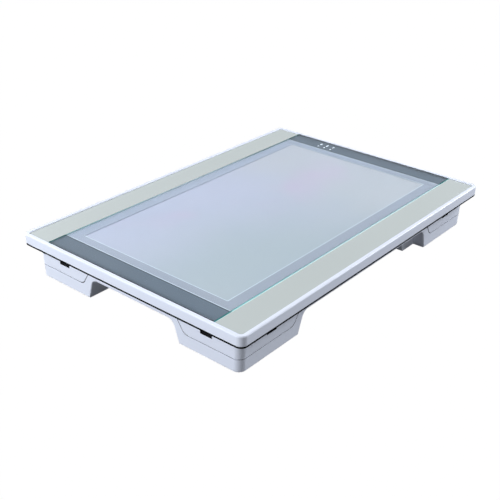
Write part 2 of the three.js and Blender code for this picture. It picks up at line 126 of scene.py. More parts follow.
def fillet_outline(turns):
    """A closed outline through corners (x, y, radius); a corner with a radius becomes a tangent arc."""
    points = []
    for i, (x, y, radius) in enumerate(turns):
        corner = Vector((x, y))
        if radius == 0:
            points.append((x, y))
            continue
        back = (Vector(turns[i - 1][:2]) - corner).normalized()
        ahead = (Vector(turns[(i + 1) % len(turns)][:2]) - corner).normalized()
        half = back.angle(ahead) / 2
        centre = corner + (back + ahead).normalized() * (radius / sin(half))
        first = corner + back * (radius / tan(half)) - centre
        last = corner + ahead * (radius / tan(half)) - centre
        sweep = first.angle_signed(last)
        for k in range(ARC + 1):
            turn = Matrix.Rotation(-sweep * k / ARC, 2)
            points.append(tuple(centre + turn @ first))
    return points


# -------- mesh helpers
WELD = 0.004 * MM
FLAT_ANGLE = radians(0.2)
BEVEL_ANGLE = radians(30)
BEVEL_SEGMENTS = 3
SHARP_ANGLE = 40
PLANES = {
    "XY": lambda u, v, w: (u, v, w),
    "XZ": lambda u, v, w: (u, w, v),
    "YZ": lambda u, v, w: (w, u, v),
}


def link(name, data):
    made = bpy.data.objects.new(name, data)
    bpy.context.scene.collection.objects.link(made)
    return made


@contextmanager
def editing(mesh):
    """A mesh opened for editing, and written back at the end."""
    work = bmesh.new()
    work.from_mesh(mesh)
    yield work
    work.to_mesh(mesh)
    work.free()


def piece_from(name, points, faces):
    mesh = bpy.data.meshes.new(name)
    mesh.from_pydata(points, [], faces)
    with editing(mesh) as work:
        bmesh.ops.recalc_face_normals(work, faces=work.faces)
    return link(name, mesh)


def loft(name, rings, closed=False):
    """A skin through rings of equal count; closed joins the last ring to the first, or else it gets caps."""
    count = len(rings[0])
    points = [p for ring in rings for p in ring]
    faces = []
    spans = len(rings) if closed else len(rings) - 1
    for r in range(spans):
        low, high = r * count, (r + 1) % len(rings) * count
        faces += [(low + i, low + (i + 1) % count, high + (i + 1) % count, high + i) for i in range(count)]
    if not closed:
        faces.append(tuple(reversed(range(count))))
        faces.append(tuple(range((len(rings) - 1) * count, len(rings) * count)))
    return piece_from(name, points, faces)


def level(outline, z):
    return [(x, y, z) for x, y in outline]


def prism(name, outline, low, high, plane="XY"):
    """An outline drawn in XY, XZ or YZ and run along the axis left over."""
    put = PLANES[plane]
    return loft(name, [[put(u, v, w) for u, v in outline] for w in (low, high)])


def box_piece(name, low, high):
    outline = [(low[0], low[1]), (high[0], low[1]), (high[0], high[1]), (low[0], high[1])]
    return prism(name, outline, low[2], high[2])


def turned(name, x, y, profile, steps=32):
    """A solid of revolution about a vertical axis; profile is (radius, z), and both ends lie on the axis."""
    points, faces = [], []
    rows = []
    for radius, z in profile:
        if radius == 0:
            rows.append([len(points)])
            points.append((x, y, z))
            continue
        rows.append([len(points) + i for i in range(steps)])
        points += [(x + px, y + py, z) for px, py in arc(0, 0, radius, 0, 360, steps)[:-1]]
    for below, above in zip(rows, rows[1:]):
        for i in range(steps):
            j = (i + 1) % steps
            if len(below) == 1:
                faces.append((below[0], above[i], above[j]))
            elif len(above) == 1:
                faces.append((below[i], above[0], below[j]))
            else:
                faces.append((below[i], below[j], above[j], above[i]))
    return piece_from(name, points, faces)


def cylinder(name, x, y, z0, z1, radius, steps=32):
    return prism(name, arc(x, y, radius, 0, 360, steps)[:-1], z0, z1)


def apply_modifiers(piece):
    bpy.context.view_layer.update()
    graph = bpy.context.evaluated_depsgraph_get()
    mesh = bpy.data.meshes.new_from_object(piece.evaluated_get(graph))
    old = piece.data
    piece.modifiers.clear()
    piece.data = mesh
    bpy.data.meshes.remove(old)


def discard(piece):
    mesh = piece.data
    bpy.data.objects.remove(piece)
    bpy.data.meshes.remove(mesh)


def boolean(piece, tools, operation="DIFFERENCE"):
    """Cuts piece by each tool, or joins or intersects them, and removes the tools."""
    for tool in tools:
        step = piece.modifiers.new("boolean", "BOOLEAN")
        step.operation = operation
        step.solver = "EXACT"
        step.object = tool
    apply_modifiers(piece)
    for tool in tools:
        discard(tool)
    return piece


def merge_flat(piece):
    """Joins flat neighbours into single faces and closes tiny gaps, so that a bevel runs clean."""
    with editing(piece.data) as work:
        bmesh.ops.remove_doubles(work, verts=work.verts, dist=WELD)
        bmesh.ops.dissolve_degenerate(work, edges=work.edges, dist=WELD)
        bmesh.ops.dissolve_limit(work, angle_limit=FLAT_ANGLE, verts=work.verts, edges=work.edges)


def bevel(piece, width):
    """Rounds every sharp edge."""
    step = piece.modifiers.new("bevel", "BEVEL")
    step.width = width
    step.segments = BEVEL_SEGMENTS
    step.limit_method = "ANGLE"
    step.angle_limit = BEVEL_ANGLE
    step.miter_outer = "MITER_ARC"
    apply_modifiers(piece)


def join_pieces(name, parts):
    """One mesh holding several separate closed shells."""
    work = bmesh.new()
    for part in parts:
        work.from_mesh(part.data)
    mesh = bpy.data.meshes.new(name)
    work.to_mesh(mesh)
    work.free()
    for part in parts:
        discard(part)
    return link(name, mesh)


def finished(piece, material, slot, *nodes, sharp=SHARP_ANGLE):
    """Smooth shading with crisp edges, a material, a parent in the body, and the CAD nodes it stands for
    hidden.
    """
    piece.data.materials.clear()
    piece.data.materials.append(material)
    piece.data.shade_smooth()
    piece.data.set_sharp_from_angle(angle=radians(sharp))
    step = piece.modifiers.new("weighted_normals", "WEIGHTED_NORMAL")
    step.keep_sharp = True
    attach(piece, BODY)
    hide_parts(*nodes)
    return piece


# -------- materials
def linear(r, g, b):
    """A colour from its 0 to 255 sRGB values, as the linear RGBA a shader takes."""
    values = [c / 255 for c in (r, g, b)]
    return tuple(((v + 0.055) / 1.055) ** 2.4 if v > 0.04045 else v / 12.92 for v in values) + (1.0,)


def plug(socket, value):
    """Sets a socket to a plain value, or links it to another node's output."""
    if isinstance(value, bpy.types.NodeSocket):
        socket.id_data.links.new(value, socket)
    else:
        socket.default_value = value


def feed(node, **inputs):
    """Sets a node's inputs by name, with _ for each space."""
    for name, value in inputs.items():
        plug(node.inputs[name.replace("_", " ")], value)


def new_material(name):
    made = bpy.data.materials.new(name)
    made.use_nodes = True
    tree = made.node_tree
    tree.nodes.clear()
    output = tree.nodes.new("ShaderNodeOutputMaterial")
    shader = tree.nodes.new("ShaderNodeBsdfPrincipled")
    feed(output, Surface=shader.outputs["BSDF"])
    return made, tree, shader


def object_point(tree):
    return tree.nodes.new("ShaderNodeTexCoord").outputs["Object"]


def noise(tree, scale, detail=2.0, roughness=0.5, stretch=None):
    """A noise value over the piece, in its own coordinates; scale is in features per metre."""
    node = tree.nodes.new("ShaderNodeTexNoise")
    feed(node, Scale=scale, Detail=detail, Roughness=roughness)
    source = object_point(tree)
    if stretch:
        scaled = tree.nodes.new("ShaderNodeMapping")
        feed(scaled, Scale=stretch, Vector=source)
        source = scaled.outputs["Vector"]
    feed(node, Vector=source)
    return node.outputs["Fac"]


def remap(value, low, high, to_low, to_high, smooth=False):
    node = value.id_data.nodes.new("ShaderNodeMapRange")
    node.interpolation_type = "SMOOTHSTEP" if smooth else "LINEAR"
    feed(node, From_Min=low, From_Max=high, To_Min=to_low, To_Max=to_high, Value=value)
    return node.outputs["Result"]


def maths(operation, first, second=None):
    """A sum on one or two values, of which at least one is a node's output."""
    known = first if isinstance(first, bpy.types.NodeSocket) else second
    node = known.id_data.nodes.new("ShaderNodeMath")
    node.operation = operation
    plug(node.inputs[0], first)
    if second is not None:
        plug(node.inputs[1], second)
    return node.outputs["Value"]


def times(first, second):
    return maths("MULTIPLY", first, second)


def plus(first, second):
    return maths("ADD", first, second)


def mix(share, first, second):
    """Blends two colours, each a colour or a socket, by a share socket."""
    node = share.id_data.nodes.new("ShaderNodeMix")
    node.data_type = "RGBA"
    feed(node, Factor=share)
    for key, value in (("A", first), ("B", second)):
        plug(next(s for s in node.inputs if s.name == key and s.type == "RGBA"), value)
    return next(s for s in node.outputs if s.type == "RGBA")


def bump(shader, height, distance, strength):
    node = shader.id_data.nodes.new("ShaderNodeBump")
    feed(node, Distance=distance, Strength=strength, Height=height)
    feed(shader, Normal=node.outputs["Normal"])


def clouds(tree, scale, low=0.3, high=0.7, detail=3, to_low=0, to_high=1, smooth=True):
    """Patches of noise, stretched to run from to_low to to_high."""
    return remap(noise(tree, scale, detail), low, high, to_low, to_high, smooth)


def uneven_sheen(shader, scale, detail, low, high):
    """A roughness that wanders between low and high."""
    patches = clouds(shader.id_data, scale, detail=detail, to_low=low, to_high=high, smooth=False)
    feed(shader, Roughness=patches)


def distance_from(value, place=None):
    """How far a coordinate lies from a place, or from nought."""
    return maths("ABSOLUTE", value if place is None else maths("SUBTRACT", value, place))


def axes(tree):
    node = tree.nodes.new("ShaderNodeSeparateXYZ")
    feed(node, Vector=object_point(tree))
    return node.outputs["X"], node.outputs["Y"], node.outputs["Z"]


def moulded(name, colour, shade, roughness, grain=1400, depth=0.012 * MM, mottle=9, specular=0.5):
    """Moulded plastic or rubber: a fine eroded grain, faint mottling and an uneven sheen."""
    made, tree, shader = new_material(name)
    feed(shader, Base_Color=mix(clouds(tree, mottle), colour, shade), Specular_IOR_Level=specular)
    uneven_sheen(shader, mottle * 4, 4, roughness - 0.04, roughness + 0.05)
    bump(shader, noise(tree, grain, 2), depth, 0.35)
    return made


# -------- the finishes
def white_plastic():
    return moulded("white_plastic", WHITE, WHITE_SHADE, 0.42)


def painted_recess_shade():
    """Painted shade: the moulding inside its seams and slots, near black to stand for the shade in there,
    where little light gets in.
    """
    return moulded("painted_recess_shade", linear(17, 18, 20), linear(23, 24, 26), 0.8, specular=0.05)


def black_rubber():
    return moulded("black_rubber", linear(9, 9, 11), linear(16, 16, 18), 0.7, grain=2200, depth=0.03 * MM,
                   mottle=30, specular=0.05)


def black_plastic():
    return moulded("black_plastic", linear(14, 14, 17), linear(24, 24, 28), 0.5, mottle=40, specular=0.3)


def grey_panel():
    """A satin panel with a fine sprayed grain, and a painted glow along the glass that stands for the light
    the glass's edge throws on it.
    """
    made = moulded("grey_panel", GREY, GREY_SHADE, 0.55, grain=1800, depth=0.015 * MM, mottle=5, specular=0.3)
    tree = made.node_tree
    shader = tree.nodes["Principled BSDF"]
    x, _, _ = axes(tree)
    # Painted light: an emission strip beside the glass's edges, stronger on the right, for the light the
    # glass's edge throws on the panel.
    reach = GLASS_HIGH.x + PAINTED_CAST_WIDTH
    beside = remap(distance_from(x), reach, reach + PAINTED_CAST_FADE, 1, 0, True)
    strength = remap(x, GLASS_LOW.x, GLASS_HIGH.x, PAINTED_CAST_LEFT, PAINTED_CAST_RIGHT, True)
    feed(shader, Emission_Color=PAINTED_CAST_TINT, Emission_Strength=times(beside, strength))
    return made


def glass_face():
    """The clear faces of the glass: faintly blue, with faint smears in the sheen."""
    made, tree, shader = new_material("clear_glass")
    feed(shader, Base_Color=mix(clouds(tree, 7), GLASS_TINT, GLASS_SHADE))
    smears = remap(noise(tree, 16, 5, 0.6, (1, 0.3, 1)), 0.35, 0.7, 0.0, 0.04)
    feed(shader, Roughness=smears, IOR=GLASS_IOR, Transmission_Weight=1.0)
    bump(shader, noise(tree, 18, 1), 0.01 * MM, 0.1)
    return made


def glass_edge(name, upright):
    """The glass's edge: its own green with painted reflection of the prints beneath, teal by the bands and
    pale along the lit middle, a painted dark reflection low at the rear left, and a painted glow.
    """
    made, tree, shader = new_material(name)
    x, y, z = axes(tree)
    # Teal by the bands and pale over the middle: partly the glass's own green, partly painted reflection of
    # the prints beneath.
    ends = remap(distance_from(y), BAND_INNER - 3 * MM, BAND_INNER + 2 * MM, 0, 1, True)
    wander = clouds(tree, 30, 0.35, 0.65, to_high=0.3, smooth=False)
    front = remap(plus(y, times(wander, 0.1)), *EDGE_FRONT_FADE, 1, 0, True)
    right = remap(x, *EDGE_SIDE_FADE, 0, 1)
    pale = mix(right, EDGE_LEFT, EDGE_RIGHT if upright else EDGE_CHAMFER)
    pale = mix(times(front, 0.6), pale, EDGE_FRONT)
    if upright:
        # A painted dark reflection low on the left edge towards the rear.
        low = remap(z, GLASS_LOW.z + 1.0 * MM, GLASS_LOW.z + 2.2 * MM, 1, 0, True)
        rear = remap(y, *EDGE_REAR_FADE, 0, 1, True)
        deep = times(times(low, rear), maths("SUBTRACT", 1, right))
        pale = mix(deep, pale, EDGE_DARK_REFLECTION)
    colour = mix(ends, pale, EDGE_BAND)
    # The emission is a painted glow; the glass holds no lamp.
    feed(shader, Base_Color=colour, Emission_Color=colour)
    feed(shader, Emission_Strength=EDGE_GLOW if upright else CHAMFER_GLOW, Specular_IOR_Level=0.05)
    uneven_sheen(shader, 90, 2, 0.2, 0.35)
    bump(shader, noise(tree, 400, 2), 0.01 * MM, 0.3)
    return made


def lines_at(value, places, half_width):
    """1 within half_width of any of the places along value, and 0 elsewhere."""
    total = None
    for place in places:
        away = distance_from(value, place)
        line = remap(away, half_width * 0.7, half_width * 1.3, 1, 0, True)
        total = line if total is None else maths("MAXIMUM", total, line)
    return total


def printed(shader):
    """The sheen and grain that both inks share."""
    uneven_sheen(shader, 30, 3, 0.45, 0.6)
    bump(shader, noise(shader.id_data, 2500, 1), 0.005 * MM, 0.3)


def band_ink():
    """Slate blue print with a darker pinstripe along each long edge; the one by the rim is partly painted
    shade of the gap between the glass and the rim.
    """
    made, tree, shader = new_material("band_ink")
    _, y, _ = axes(tree)
    # The second stripe, by the rim, also stands in for the shade of the gap between the glass and the rim.
    places = (BAND_INNER + 0.9 * MM, GLASS_HIGH.y - 1.0 * MM)
    stripes = lines_at(distance_from(y), places, 0.75 * MM)
    ink = mix(clouds(tree, 6), BAND, BAND_SHADE)
    feed(shader, Base_Color=mix(stripes, ink, BAND_LINE))
    printed(shader)
    return made


def border_lines(x, y):
    """1 on the bright lines round the border's two edges."""
    half, past = 0.45 * MM, 0.95 * MM
    along = distance_from(y)
    side_line = lines_at(x, (LIT_HALF_X + 0.5 * MM,), half)
    end_line = lines_at(along, (LIT_HALF_Y + 0.5 * MM, BAND_INNER - 0.9 * MM), half)
    within = maths("LESS_THAN", distance_from(x), LIT_HALF_X + past)
    beside = maths("LESS_THAN", along, LIT_HALF_Y + past)
    outer = maths("GREATER_THAN", along, BAND_INNER - 2.5 * MM)
    end_line = times(end_line, maths("MAXIMUM", within, outer))
    return maths("MAXIMUM", times(side_line, beside), end_line)


def border_ink():
    """Pale blue-grey print with a bright line along both of its edges that carries a painted glow, a painted
    shadow beside the screen at the rear, a painted cyan glow beside the glass's right edge and a painted dark
    reflection beside its left edge at the rear.
    """
    made, tree, shader = new_material("border_ink")
    x, y, _ = axes(tree)
    line = border_lines(x, y)
    # A painted shadow beside the screen at the rear.
    shadow = remap(distance_from(y, LIT_HALF_Y + 4.0 * MM), 0.5 * MM, 3.0 * MM, 1, 0, True)
    slope = remap(plus(x, times(y, -0.35)), *BORDER_FADE, 0, 1, True)
    ink = mix(slope, mix(clouds(tree, 6), BORDER, BORDER_SHADE), BORDER_RIGHT)
    ink = mix(times(shadow, 0.5), ink, BORDER_PAINTED_SHADOW)
    # A painted cyan glow beside the glass's right edge.
    right = lines_at(x, (GLASS_HIGH.x - 1.0 * MM,), 1.0 * MM)
    ink = mix(times(right, 0.6), ink, BORDER_GLOW)
    # A painted dark reflection of the glass's left edge, towards the rear.
    rear = remap(y, *BORDER_REAR_FADE, 0, 1, True)
    left = times(lines_at(x, (GLASS_LOW.x + 0.8 * MM,), 0.9 * MM), rear)
    ink = mix(left, ink, EDGE_DARK_REFLECTION)
    # The bright lines carry a painted glow.
    feed(shader, Base_Color=mix(line, ink, BORDER_LINE), Emission_Color=BORDER_LINE)
    feed(shader, Emission_Strength=times(line, LINE_GLOW))
    printed(shader)
    return made


def opal_sheet():
    """Unlit opal acrylic: lavender at the front left, grey-cyan to the right, with a faint dot grain."""
    made, tree, shader = new_material("opal_sheet")
    x, y, _ = axes(tree)
    warp = clouds(tree, 5, detail=2, to_low=-0.04, to_high=0.04, smooth=False)
    across = plus(plus(x, times(y, -0.22)), warp)
    colour = mix(remap(across, *SCREEN_SIDE_FADE, 0, 1, True), SCREEN_LEFT, SCREEN_RIGHT)
    rear = remap(plus(y, warp), *SCREEN_REAR_FADE, 0, 1, True)
    colour = mix(times(rear, 0.8), colour, SCREEN_REAR)
    pink = clouds(tree, 9, 0.45, detail=2, to_high=0.5)
    ring = remap(distance_from(plus(across, 0.03)), 0.0, 0.08, 1, 0, True)
    pink = times(pink, ring)
    feed(shader, Base_Color=mix(pink, colour, SCREEN_PINK))
    uneven_sheen(shader, 25, 3, 0.5, 0.65)
    bump(shader, noise(tree, 1200, 1), 0.01 * MM, 0.3)
    return made


def key_white():
    """Bright print for the touch keys' lenses and marks, with a painted glow that makes them brighter."""
    made, tree, shader = new_material("key_white")
    tint = clouds(tree, 900, detail=2, smooth=False)
    colour = mix(tint, linear(250, 252, 255), linear(228, 236, 246))
    feed(shader, Base_Color=colour, Emission_Color=colour, Emission_Strength=KEY_GLOW)
    uneven_sheen(shader, 700, 2, 0.35, 0.5)
    bump(shader, noise(tree, 3000, 1), 0.004 * MM, 0.3)
    return made


def clear_acrylic():
    """The light guide, with its grid of fine printed dots."""
    made, tree, shader = new_material("clear_acrylic")
    dots = tree.nodes.new("ShaderNodeTexVoronoi")
    feed(dots, Scale=320, Randomness=0, Vector=object_point(tree))
    print_mask = remap(dots.outputs["Distance"], 0.22, 0.3, 1, 0)
    feed(shader, Base_Color=mix(print_mask, linear(214, 228, 232), linear(248, 250, 250)))
    uneven_sheen(shader, 40, 3, 0.08, 0.2)
    bump(shader, print_mask, 0.02 * MM, 0.5)
    return made


def white_film():
    return moulded("white_film", linear(240, 240, 237), linear(229, 230, 228), 0.8, grain=900, mottle=12,
                   specular=0.2)


def brushed(name, bright, dark, roughness, stretch, scale=160):
    """Metal with fine lines drawn along one axis."""
    made, tree, shader = new_material(name)
    lines = noise(tree, scale, 4, 0.6, stretch)
    feed(shader, Base_Color=mix(remap(lines, 0.3, 0.7, 0, 1), bright, dark))
    feed(shader, Roughness=remap(lines, 0.3, 0.7, roughness - 0.07, roughness + 0.1), Metallic=1.0)
    bump(shader, lines, 0.01 * MM, 0.4)
    return made


def aluminium():
    return brushed("aluminium", linear(205, 207, 210), linear(178, 181, 186), 0.38, (10, 0.25, 10))


def steel():
    return brushed("steel", linear(190, 191, 194), linear(150, 152, 158), 0.32, (4, 4, 4), 300)


def circuit_board():
    """Green solder mask with fine tracks; what stands above the board is dark."""
    made, tree, shader = new_material("circuit_board")
    tracks = tree.nodes.new("ShaderNodeTexBrick")
    feed(tracks, Scale=90, Mortar_Size=0.06, Color1=linear(24, 92, 54), Color2=linear(30, 104, 62))
    feed(tracks, Mortar=linear(58, 138, 84), Vector=object_point(tree))
    _, _, z = axes(tree)
    raised = maths("GREATER_THAN", z, BOARD_TOP + 0.1 * MM)
    flat = maths("LESS_THAN", z, TOUCH_LOW.z - 1 * MM)
    raised = times(raised, flat)
    feed(shader, Base_Color=mix(raised, tracks.outputs["Color"], linear(38, 38, 42)))
    uneven_sheen(shader, 120, 3, 0.35, 0.55)
    bump(shader, tracks.outputs["Fac"], 0.04 * MM, 0.4)
    return made


def white_board():
    """White solder mask; the lamps on it have yellow faces."""
    made, tree, shader = new_material("white_board")
    x, _, _ = axes(tree)
    lamps = maths("LESS_THAN", distance_from(x), STRIP_INNER + 0.9 * MM)
    cloud = clouds(tree, 200, smooth=False)
    mask = mix(cloud, linear(238, 236, 226), linear(224, 222, 212))
    feed(shader, Base_Color=mix(lamps, mask, linear(236, 208, 92)))
    feed(shader, Roughness=remap(cloud, 0, 1, 0.4, 0.55))
    bump(shader, noise(tree, 900, 2), 0.01 * MM, 0.4)
    return made


def wire():
    return moulded("wire", linear(168, 34, 28), linear(138, 24, 20), 0.5, grain=2500, mottle=60, specular=0.4)


def ribbon():
    """Flat cable with its conductors showing as fine lines."""
    made, tree, shader = new_material("ribbon")
    _, y, _ = axes(tree)
    wave = maths("SINE", times(y, 2 * pi / RIBBON_PITCH))
    lines = remap(wave, -0.2, 0.6, 0, 1, True)
    feed(shader, Base_Color=mix(lines, linear(222, 218, 204), linear(176, 172, 158)))
    uneven_sheen(shader, 300, 2, 0.45, 0.6)
    bump(shader, wave, 0.05 * MM, 0.5)
    return made


# -------- colours
WHITE = linear(228, 232, 244)
WHITE_SHADE = linear(225, 229, 242)
GREY = linear(186, 191, 188)
GREY_SHADE = linear(184, 189, 186)
GLASS_TINT = linear(250, 253, 254)
GLASS_SHADE = linear(246, 251, 253)
BAND = linear(112, 126, 140)
BAND_SHADE = linear(108, 122, 136)
BAND_LINE = linear(67, 81, 96)
BORDER = linear(193, 202, 220)
BORDER_SHADE = linear(189, 199, 218)
BORDER_RIGHT = linear(180, 186, 199)
# Painted shadow on the border beside the screen at the rear.
BORDER_PAINTED_SHADOW = linear(162, 170, 186)
BORDER_LINE = linear(234, 245, 250)
# Painted cyan light on the border beside the glass's right edge.
BORDER_GLOW = linear(194, 238, 246)
SCREEN_LEFT = linear(212, 216, 235)
SCREEN_RIGHT = linear(198, 208, 214)
SCREEN_REAR = linear(219, 221, 227)
SCREEN_PINK = linear(227, 208, 234)
# The glass edge's colours: partly the glass's own green, partly painted reflection of the prints under the
# glass; the last is a painted dark reflection.
EDGE_BAND = linear(84, 150, 150)
EDGE_LEFT = linear(225, 247, 251)
EDGE_RIGHT = linear(209, 232, 236)
EDGE_CHAMFER = linear(151, 192, 197)
EDGE_FRONT = linear(149, 218, 218)
EDGE_DARK_REFLECTION = linear(60, 112, 114)
# Strengths of painted glow, on parts that hold no lamp: the keys, the border's bright lines, the glass's
# upright edge and its chamfer.
KEY_GLOW = 1.3
LINE_GLOW = 0.16
EDGE_GLOW = 0.35
CHAMFER_GLOW = 0.15
# Painted light on the panels beside the glass: its tint, width and fade, and its strength on the left and on
# the right.
PAINTED_CAST_TINT = (0.45, 0.85, 1.0, 1.0)
PAINTED_CAST_WIDTH, PAINTED_CAST_FADE = 1.2 * MM, 0.6 * MM
PAINTED_CAST_LEFT = 0.1
PAINTED_CAST_RIGHT = 0.22
GLASS_IOR = 1.52
# Where along its axis each tint starts and where it is complete.
EDGE_FRONT_FADE = (-0.22, 0.0)
EDGE_SIDE_FADE = (-0.1, 0.1)
EDGE_REAR_FADE = (0.06, 0.16)
BORDER_FADE = (-0.2, 0.25)
BORDER_REAR_FADE = (0.06, 0.18)
SCREEN_SIDE_FADE = (-0.12, 0.16)
SCREEN_REAR_FADE = (-0.02, 0.2)

# -------- details
FRAME_BOTTOM = GASKET_HIGH.z + 0.2 * MM
FRAME_RADIUS, FRAME_EASE, FRAME_WALL = mm(10, 0.35, 3.2)
RIM, RIM_ROUND, POCKET_LIP = mm(5.8, 1.8, 0.5)
WEB_BOTTOM, WEB_TOP = mm(60.8, 62.8)
OPENING_X, OPENING_Y = mm(140.5, 246.5)
GASKET_INNER = mm(182, 273, 8)
GASKET_SOFT = 0.5 * MM
PANEL_CORNER, PANEL_SQUARE, PANEL_EASE = mm(4.2, 0.3, 0.6)
GLASS_POLISH, GLASS_CORNER = mm(0.45, 1.0)
LIT_HALF_X, LIT_HALF_Y = mm(131.3, 237.2)
BAND_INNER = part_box("band_film_rear")[0].y
STRIP_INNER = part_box("led_strip_right")[0].x
BOARD_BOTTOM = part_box("control_board")[0].z
BOARD_TOP = BOARD_BOTTOM + 1.6 * MM
RIBBON_PITCH = 1.0 * MM
KEY_MARK_SETBACK = 9.5 * MM
CASE_RADIUS, CASE_WALL, CASE_FLOOR = mm(11, 4.2, 3.5)
DRAFT = 0.029
TRAY_BOTTOM, TRAY_FLOOR = mm(32.6, 2.5)
BASE_ROUND = 1.8 * MM
LIP_STEPS = 5
ARCH_X, ARCH_Y, ARCH_INNER_Y, ARCH_FILLET = mm(84, 160, 128, 12)
ARCH_SLOPE = 0.31
SIDE_STEP = 20 * MM
COVER_X, COVER_Y, COVER_THICK, COVER_FILLET = mm(76, 154, 2.2, 11)
SEAM, SEAM_GAP, SEAM_EASE = mm(20.7, 0.7, 0.35)
SEAM_SLANT = 0.6
NOTCH_X, NOTCH_Y, NOTCH_WIDTH, NOTCH_DEPTH = mm(131, 217, 19, 8.6)
NOTCH_LOW, NOTCH_HIGH = mm(33.6, 41)
CATCH_FLANGE, CATCH_THICK, CATCH_REACH, CATCH_EASE = mm(2, 2, 0.5, 0.35)
PAD_RECESS, PAD_SOFT = mm(2, 0.7)
GROOVE_PITCH, GROOVE_HALF, GROOVE_END = mm(5, 0.5, 3)
WELL, WELL_WALL, WELL_SEAT, WELL_FLARE = mm(4, 2, 36, 0.6)
POST, BOARD_POST, SHANK_HOLE, PILOT_HOLE = mm(4, 3, 1.8, 1.5)
INLET_BORE, INLET_DEPTH, INLET_FLARE, INLET_EASE = mm(3.2, 11, 0.5, 0.5)
PIN, PIN_LENGTH = mm(1.0, 5.5)
SCREWS = {"case": 8, "plate": 4, "board": 4}
# A screw's head height and shank radius.
SCREW_SIZES = {"case": mm(2.2, 1.5), "plate": mm(1.7, 1.2), "board": mm(1.6, 1.2)}
THREAD_PITCH = 0.8 * MM
# Which screws the frame's posts take, and each post's foot, radius and hole.
FRAME_POSTS = (
    ("case", CASE_HIGH.z + GAP, 4 * MM, SHANK_HOLE),
    ("plate", 54.5 * MM, 3.5 * MM, PILOT_HOLE),
)


def middle(node):
    low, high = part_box(node)
    return (low + high) / 2


def screws(kind):
    return [f"{kind}_screw_{i}" for i in range(1, SCREWS[kind] + 1)]


def eased(size):
    """Steps (inset, height) that round an edge."""
    return [(size, 0), (size * 0.3, size * 0.3), (0, size)]


# -------- top frame, glass and what lies in it
def frame_ring(offset, z):
    radius = max(FRAME_RADIUS - offset, 0.4 * MM)
    return level(centred(FRAME_HIGH.x - offset, FRAME_HIGH.y - offset, radius, 14), z)


def frame_skin():
    """A ring with a rounded outer edge, a pocket with an eased lip and a web under the glass."""
    top = FRAME_HIGH.z
    profile = [(o, FRAME_BOTTOM + h) for o, h in eased(FRAME_EASE)]
    profile += [(RIM_ROUND - u, top - RIM_ROUND + v) for u, v in arc(0, 0, RIM_ROUND, 0, 90, 12)]
    lip = reversed(arc(0, 0, POCKET_LIP, 0, 90, 4))
    profile += [(RIM - POCKET_LIP + u, top - POCKET_LIP + v) for u, v in lip]
    profile += [(RIM, WEB_TOP)]
    rings = [frame_ring(offset, z) for offset, z in profile]
    rings += [level(centred(OPENING_X, OPENING_Y, 0.5 * MM, 14), z) for z in (WEB_TOP, WEB_BOTTOM)]
    rings += [frame_ring(FRAME_WALL, z) for z in (WEB_BOTTOM, FRAME_BOTTOM)]
    return loft("white_top_frame", rings, closed=True)


def add_frame_posts(piece):
    """Posts under the web, each with a hole for its screw."""
    posts, holes = [], []
    for kind, low, radius, hole in FRAME_POSTS:
        for screw in screws(kind):
            at = middle(screw)
            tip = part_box(screw)[1].z + 0.5 * MM
            posts.append(cylinder("post", at.x, at.y, low, WEB_BOTTOM + 0.5 * MM, radius))
            holes.append(cylinder("pilot", at.x, at.y, low - MM, tip, hole))
    boolean(piece, [join_pieces("posts", posts)], "UNION")
    boolean(piece, [join_pieces("pilots", holes)])


def make_top_frame():
    """The white frame, with a seat for the touch board and a slot for its ribbon in the web."""
    piece = frame_skin()
    add_frame_posts(piece)
    seat = box_piece("seat", (TOUCH_LOW.x - GAP, TOUCH_LOW.y - GAP, TOUCH_LOW.z - 0.1 * MM),
                     (TOUCH_HIGH.x + GAP, TOUCH_HIGH.y + GAP, GLASS_LOW.z))
    slot_x, slot_y = middle("touch_board").x, middle("ribbon_cable").y
    ribbon_slot = box_piece("ribbon_slot", (slot_x - 2 * MM, slot_y - 5 * MM, WEB_BOTTOM - MM),
                            (slot_x + 2 * MM, slot_y + 5 * MM, TOUCH_LOW.z))
    boolean(piece, [seat, ribbon_slot])
    finished(piece, white_plastic(), "white_plastic", "top_frame")


def make_gasket():
    """The black seal between the frame and the base, with its outer edges rounded."""
    low, high = GASKET_LOW.z, GASKET_HIGH.z
    radius = FRAME_RADIUS - (FRAME_HIGH.x - GASKET_HIGH.x)
    steps = eased(GASKET_SOFT)
    profile = [(o, low + h) for o, h in steps] + [(o, high - h) for o, h in reversed(steps)]
    rings = [level(centred(GASKET_HIGH.x - o, GASKET_HIGH.y - o, radius - o, 12), z) for o, z in profile]
    rings += [level(centred(*GASKET_INNER, 12), z) for z in (high, low)]
    finished(loft("black_gasket", rings, closed=True), black_rubber(), "black_rubber", "frame_gasket")


def make_side_panel(word, side, material):
    """A long panel with eased top edges, rounded at its two outer corners."""
    low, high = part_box(f"side_panel_{word}")
    radii = (PANEL_SQUARE, PANEL_CORNER, PANEL_CORNER, PANEL_SQUARE)
    if side < 0:
        radii = (PANEL_CORNER, PANEL_SQUARE, PANEL_SQUARE, PANEL_CORNER)

    def ring(inset, z):
        corners = tuple(max(r - inset, 0.05 * MM) for r in radii)
        return level(rounded(low.x + inset, low.y + inset, high.x - inset, high.y - inset, corners, 6), z)

    rings = [ring(0, low.z), ring(0, high.z - PANEL_EASE)]
    for turn in (radians(t) for t in (30, 60, 90)):
        rings.append(ring(PANEL_EASE * (1 - cos(turn)), high.z - PANEL_EASE * (1 - sin(turn))))
    finished(loft(f"grey_panel_{word}", rings), material, "grey_panel", f"side_panel_{word}")


